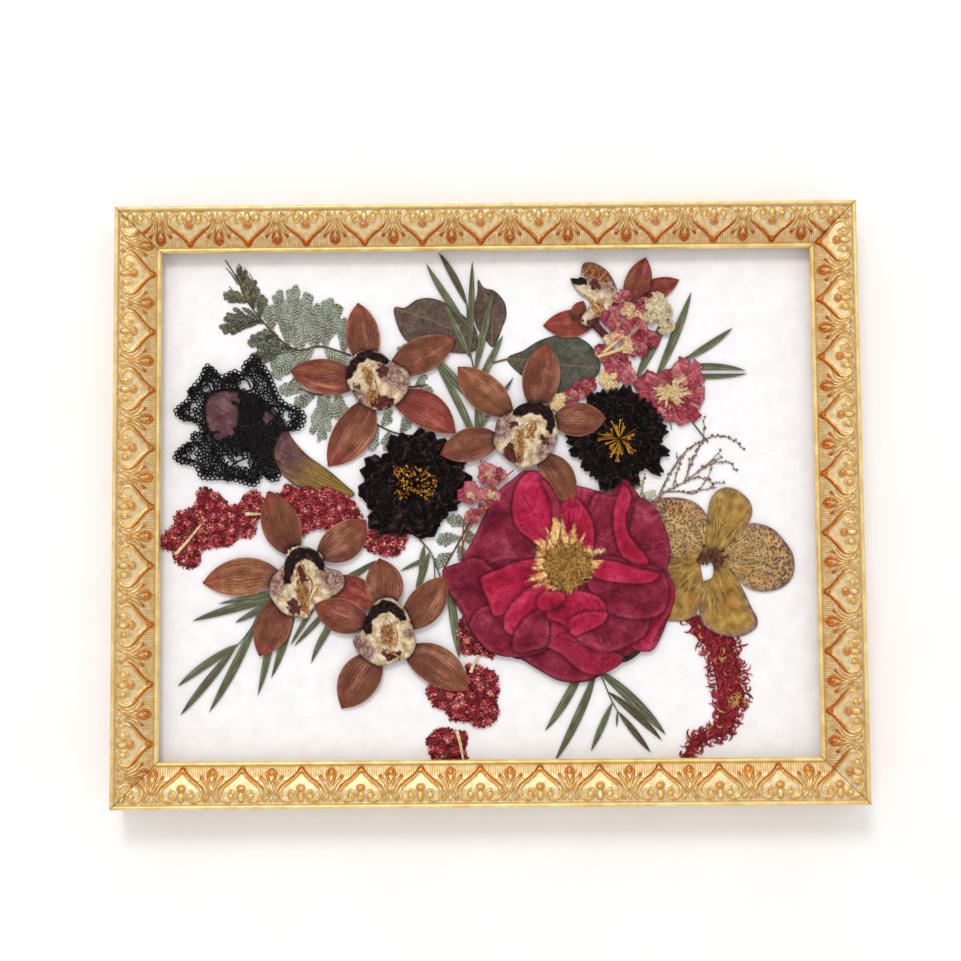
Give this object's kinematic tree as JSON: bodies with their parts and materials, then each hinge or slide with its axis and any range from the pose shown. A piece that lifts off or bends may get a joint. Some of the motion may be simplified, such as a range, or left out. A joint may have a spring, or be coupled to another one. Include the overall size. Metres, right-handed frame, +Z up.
{
  "type": "pressed flower frame",
  "caption": "Gilded ornamented picture frame with pressed orchids, a rose, seed heads, foliage and lace on white card behind glass.",
  "frame": {"origin": "notch of the sawtooth hanger at the middle of the top rail's back, where the frame hangs on its wall nail", "axes": "+X to the viewer's right, +Z up, front of the frame faces -Y"},
  "size_m": [0.39, 0.0283, 0.314],
  "materials": {
    "gilt": "gilded composition ornament with a red-brown wash in its recesses",
    "glass": "clear low-reflection picture glass",
    "mount_card": "matte white mount board",
    "back_board": "plain brown hardboard",
    "steel": "zinc-plated sheet steel",
    "bumper": "matte grey-brown",
    "orchid_petal": "dry veined red-brown petal, cream and maroon lip",
    "rose_petal": "dry crimson petal, yellow-cream at its base",
    "dark_petal": "crumpled near-black petal with amber stamens",
    "vanda_petal": "dry olive-tan petal with purple mottling",
    "calla_spathe": "dry plum spathe turning olive",
    "black_lace": "black cord lace",
    "celosia": "granular crimson seed heads",
    "amaranth": "shaggy dark red tassel",
    "silver_foliage": "felted silver-green leaf",
    "dark_foliage": "dark grey-brown leaf",
    "narrow_foliage": "dry grey-green leaf",
    "pink_floret": "papery pink florets",
    "cream_floret": "papery cream florets",
    "dry_twig": "thin dry brown twig"
  },
  "bodies": {
    "root": {"rail_top": "gilt", "rail_bottom": "gilt", "rail_left": "gilt", "rail_right": "gilt", "glass_pane": "glass", "mount_card": "mount_card", "back_board": "back_board", "tab_1": "steel", "tab_2": "steel", "tab_3": "steel", "tab_4": "steel", "tab_5": "steel", "tab_6": "steel", "hanger": "steel", "hanger_nail_1": "steel", "hanger_nail_2": "steel", "bumper_1": "bumper", "bumper_2": "bumper", "orchid_1": "orchid_petal", "orchid_2": "orchid_petal", "orchid_3": "orchid_petal", "orchid_4": "orchid_petal", "orchid_5": "orchid_petal", "rose": "rose_petal", "dark_flower_1": "dark_petal", "dark_flower_2": "dark_petal", "vanda_flower": "vanda_petal", "calla_flower": "calla_spathe", "lace_wrap": "black_lace", "celosia_1": "celosia", "celosia_2": "celosia", "celosia_3": "celosia", "celosia_4": "celosia", "celosia_5": "celosia", "celosia_6": "celosia", "amaranth_tassel": "amaranth", "silver_leaf_1": "silver_foliage", "silver_leaf_2": "silver_foliage", "silver_leaf_3": "silver_foliage", "silver_leaf_4": "silver_foliage", "silver_leaf_5": "silver_foliage", "dark_leaf_1": "dark_foliage", "dark_leaf_2": "dark_foliage", "dark_leaf_3": "dark_foliage", "willow_top": "narrow_foliage", "willow_right": "narrow_foliage", "willow_lower_left": "narrow_foliage", "willow_mid_left": "narrow_foliage", "willow_mid": "narrow_foliage", "willow_low_mid": "narrow_foliage", "willow_lower_right": "narrow_foliage", "pink_cluster_upper": "pink_floret", "pink_cluster_lower": "pink_floret", "pink_cluster_right": "pink_floret", "pink_cluster_centre": "pink_floret", "pink_cluster_small": "pink_floret", "cream_cluster": "cream_floret", "sea_lavender_twig": "dry_twig"}
  },
  "joints": []
}
